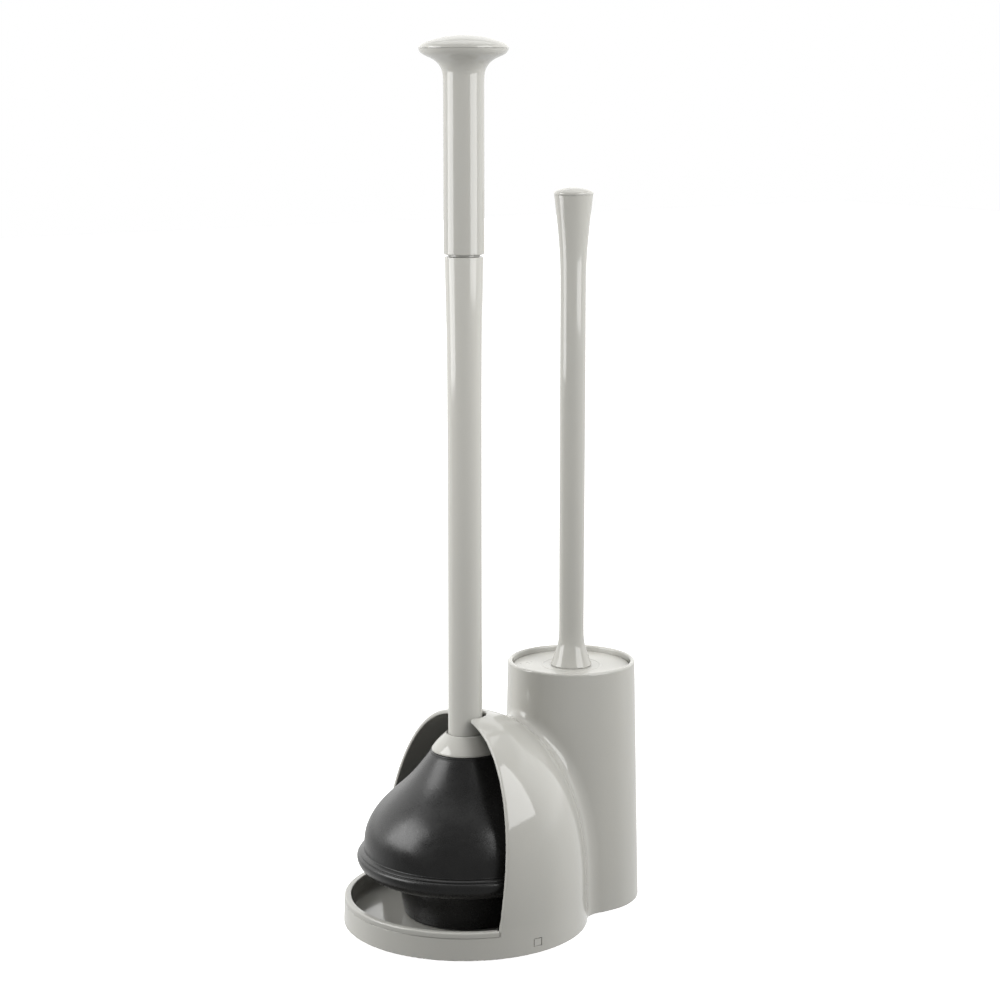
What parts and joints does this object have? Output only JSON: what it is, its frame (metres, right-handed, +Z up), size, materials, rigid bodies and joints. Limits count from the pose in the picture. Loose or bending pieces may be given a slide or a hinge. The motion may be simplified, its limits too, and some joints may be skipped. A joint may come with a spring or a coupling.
{
  "type": "toilet plunger and bowl brush set",
  "caption": "Free-standing toilet plunger with a knobbed handle and black rubber cup, in a grey hooded caddy that also holds a bowl brush.",
  "frame": {"origin": "on the floor, at the middle of the caddy's bounding box", "axes": "+Z up, +X from the plunger's axis to the brush's axis, so the hood's open side faces -X, +Y completes a right-handed frame"},
  "size_m": [0.212, 0.16, 0.5713],
  "materials": {
    "grey_plastic": "glossy moulded ABS in warm light grey",
    "black_rubber": "satin black moulded rubber with a faint bloom",
    "pad_rubber": "matt non-slip rubber",
    "bristle_nylon": "translucent white nylon tufts",
    "core_plastic": "moulded white polypropylene"
  },
  "bodies": {
    "caddy": {"caddy_shell": "grey_plastic", "base_plate": "grey_plastic", "drip_tray": "grey_plastic", "foot_pads": "pad_rubber"},
    "plunger": {"rubber_cup": "black_rubber", "cup_rim": "black_rubber", "cup_flange": "black_rubber", "cup_stud": "grey_plastic", "base_collar": "grey_plastic", "lower_shaft": "grey_plastic", "handle_coupler": "grey_plastic", "upper_grip": "grey_plastic", "knob_cap": "grey_plastic"},
    "brush": {"bristles": "bristle_nylon", "bristle_core": "core_plastic", "brush_stem": "grey_plastic", "brush_lid": "grey_plastic", "brush_handle": "grey_plastic", "brush_cap": "grey_plastic"}
  },
  "joints": [
    {"name": "plunger_lift_out", "type": "slide", "parent": "caddy", "child": "plunger", "axis": [-0.9046, 0.0553, 0.4226], "range_m": [0, 0.26]},
    {"name": "brush_lift_out", "type": "slide", "parent": "caddy", "child": "brush", "axis": [0, 0, 1], "range_m": [0, 0.2]}
  ]
}
